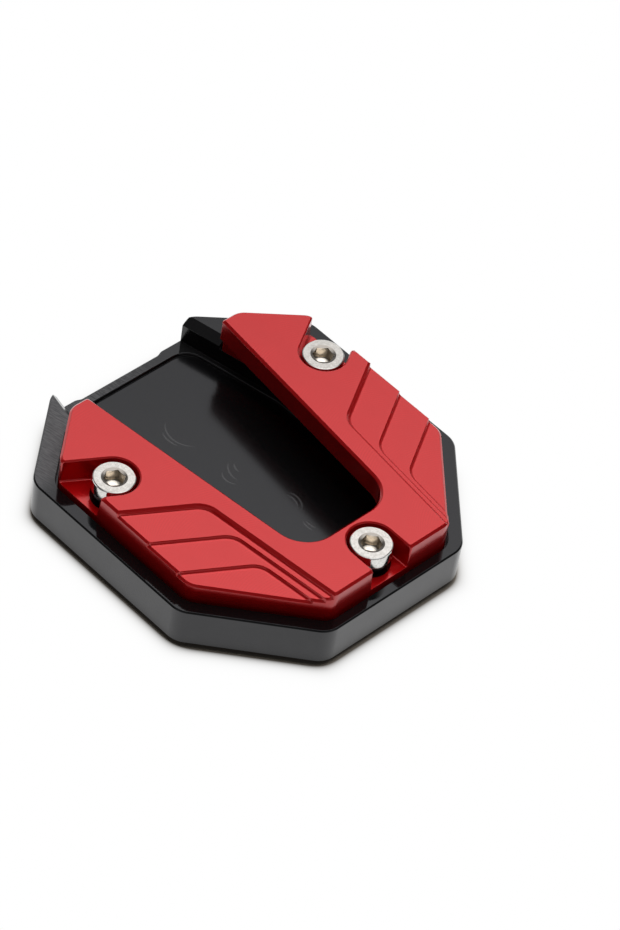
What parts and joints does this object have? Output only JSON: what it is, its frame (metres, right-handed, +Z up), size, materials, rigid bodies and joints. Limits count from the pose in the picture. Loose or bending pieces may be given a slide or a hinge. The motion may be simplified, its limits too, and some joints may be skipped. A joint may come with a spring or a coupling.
{
  "type": "kickstand foot enlarger",
  "caption": "Bolt-on foot enlarger for a motorcycle side stand: octagonal black tray, red stepped clamp plate with a tapered slot, held down by tapered-head socket screws.",
  "frame": {"origin": "middle of the tray's flat underside, which is the bottom centre of the bounding box", "axes": "+Z up from the ground, +Y to the open rear where the stand's leg comes out, +X across the part"},
  "size_m": [0.0758, 0.081, 0.0166],
  "materials": {
    "tray_black": "black anodised, milled",
    "clamp_red": "red anodised, satin",
    "screw_steel": "satin stainless"
  },
  "bodies": {
    "root": {"base_plate": "tray_black", "clamp_plate": "clamp_red", "clamp_screws": "screw_steel"}
  },
  "joints": []
}
